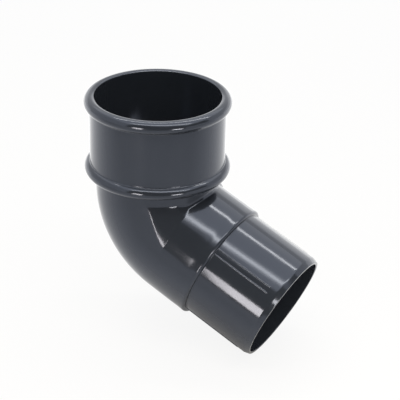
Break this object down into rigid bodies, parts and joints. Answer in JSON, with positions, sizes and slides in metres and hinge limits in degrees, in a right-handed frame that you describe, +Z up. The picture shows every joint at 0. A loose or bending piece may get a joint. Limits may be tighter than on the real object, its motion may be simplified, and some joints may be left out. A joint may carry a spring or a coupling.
{
  "type": "downpipe offset bend",
  "caption": "Moulded downpipe offset bend: a beaded socket on top takes the pipe, a bend with a round heel turns it outward, and a stepped spigot enters the next length.",
  "frame": {"origin": "centre of the pipe stop at the foot of the socket, on the socket's axis", "axes": "+Z up the socket's axis and out of its mouth, +X towards the side the spigot points to, the bend lies in the XZ plane"},
  "size_m": [0.1343, 0.0802, 0.136],
  "materials": {
    "grey_upvc": "anthracite grey uPVC, injection moulded in a polished tool, glossy"
  },
  "bodies": {
    "root": {"offset_bend": "grey_upvc"}
  },
  "joints": []
}
